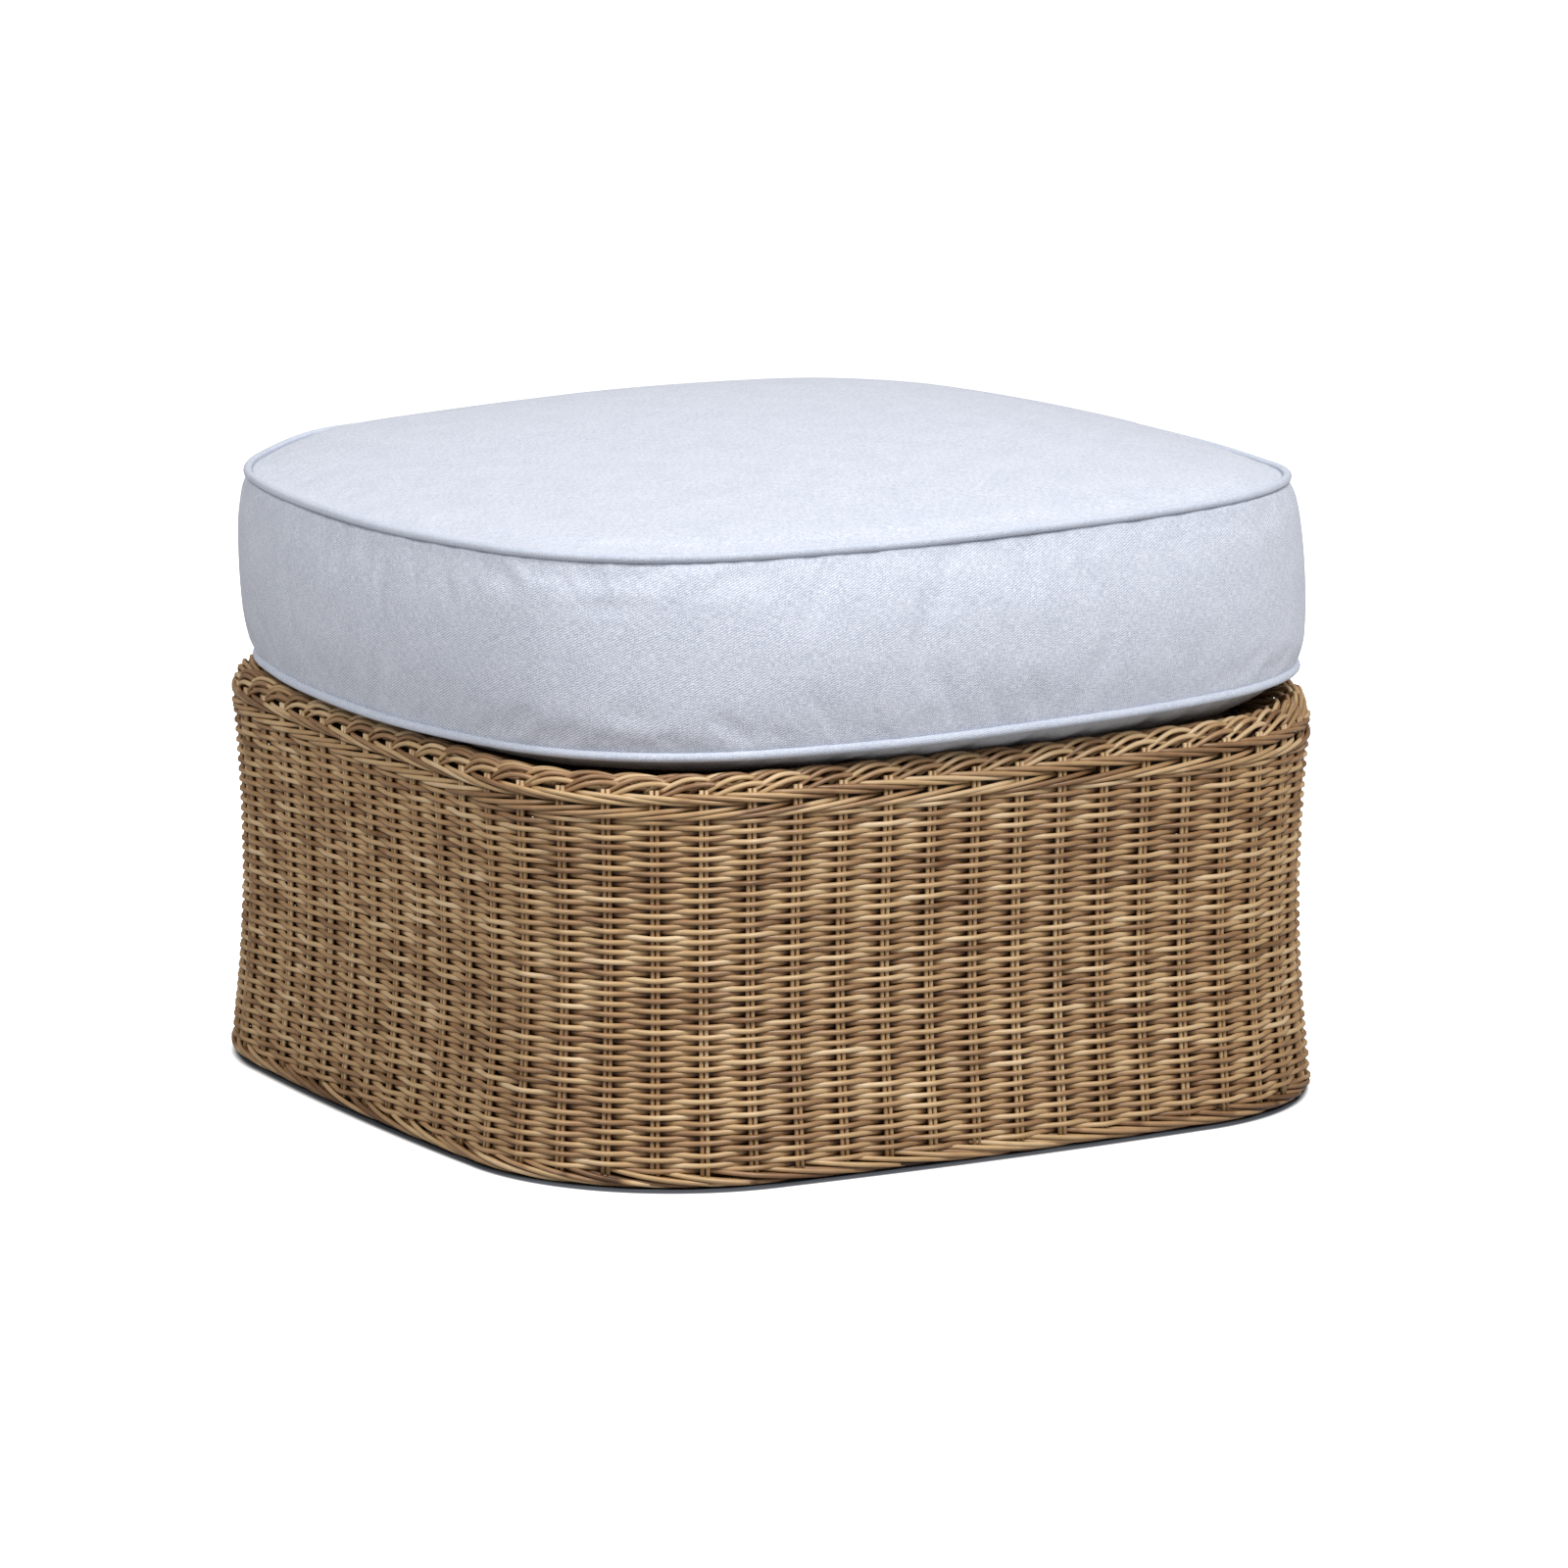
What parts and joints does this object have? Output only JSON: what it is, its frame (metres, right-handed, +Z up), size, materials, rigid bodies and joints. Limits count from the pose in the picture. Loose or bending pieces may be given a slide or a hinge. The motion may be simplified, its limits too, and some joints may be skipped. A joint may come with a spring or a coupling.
{
  "type": "outdoor ottoman footstool",
  "caption": "Square outdoor ottoman with rounded corners: a woven resin base with a waisted wall and rolled rim, and a loose piped box cushion.",
  "frame": {"origin": "centre of the base, on the floor", "axes": "+Z up, +X to the right; the front faces -Y, and the cushion's zip is at the back, towards +Y"},
  "size_m": [0.6362, 0.637, 0.431],
  "materials": {
    "frame": "satin",
    "wicker": "satin",
    "deck_weave": "satin",
    "glide": "matte",
    "cover_fabric": "matte",
    "piping_fabric": "matte",
    "foam": "matte",
    "fibre": "matte",
    "zip_tape": "matte",
    "zip_plastic": "satin"
  },
  "bodies": {
    "base": {"frame_top_ring": "frame", "frame_bottom_ring": "frame", "upright_right": "frame", "upright_back": "frame", "upright_left": "frame", "upright_front": "frame", "upright_back_right": "frame", "upright_back_left": "frame", "upright_front_left": "frame", "upright_front_right": "frame", "deck_bar_1": "frame", "deck_bar_2": "frame", "deck_bar_3": "frame", "deck_bar_4": "frame", "deck_panel": "deck_weave", "side_weave": "wicker", "top_braid": "wicker", "rolled_rim": "wicker", "foot_border": "wicker", "glide_1": "glide", "glide_2": "glide", "glide_3": "glide", "glide_4": "glide"},
    "cushion": {"foam_core": "foam", "fibre_wrap_upper": "fibre", "fibre_wrap_lower": "fibre", "cover_top_panel": "cover_fabric", "cover_bottom_panel": "cover_fabric", "boxing": "cover_fabric", "boxing_back_lower": "cover_fabric", "boxing_back_upper": "cover_fabric", "piping_top": "piping_fabric", "piping_bottom": "piping_fabric", "zip_tape_lower": "zip_tape", "zip_tape_upper": "zip_tape", "zip_teeth": "zip_plastic", "zip_stop_closed": "zip_plastic", "zip_stop_open": "zip_plastic"},
    "slider": {"zip_slider": "zip_plastic"},
    "pull": {"zip_pull": "zip_plastic"}
  },
  "joints": [
    {"name": "cushion_lift", "type": "slide", "parent": "base", "child": "cushion", "axis": [0, 0, 1], "range_m": [0, 0.15]},
    {"name": "zip_run", "type": "hinge", "parent": "cushion", "child": "slider", "pos_m": [0, -0.38954, 0.336], "axis": [0, 0, -1], "range_deg": [0, 23.8]},
    {"name": "pull_swing", "type": "hinge", "parent": "slider", "child": "pull", "pos_m": [-0.14704, 0.30807, 0.336], "axis": [0.9785, 0.2062, 0], "range_deg": [0, 170]}
  ]
}
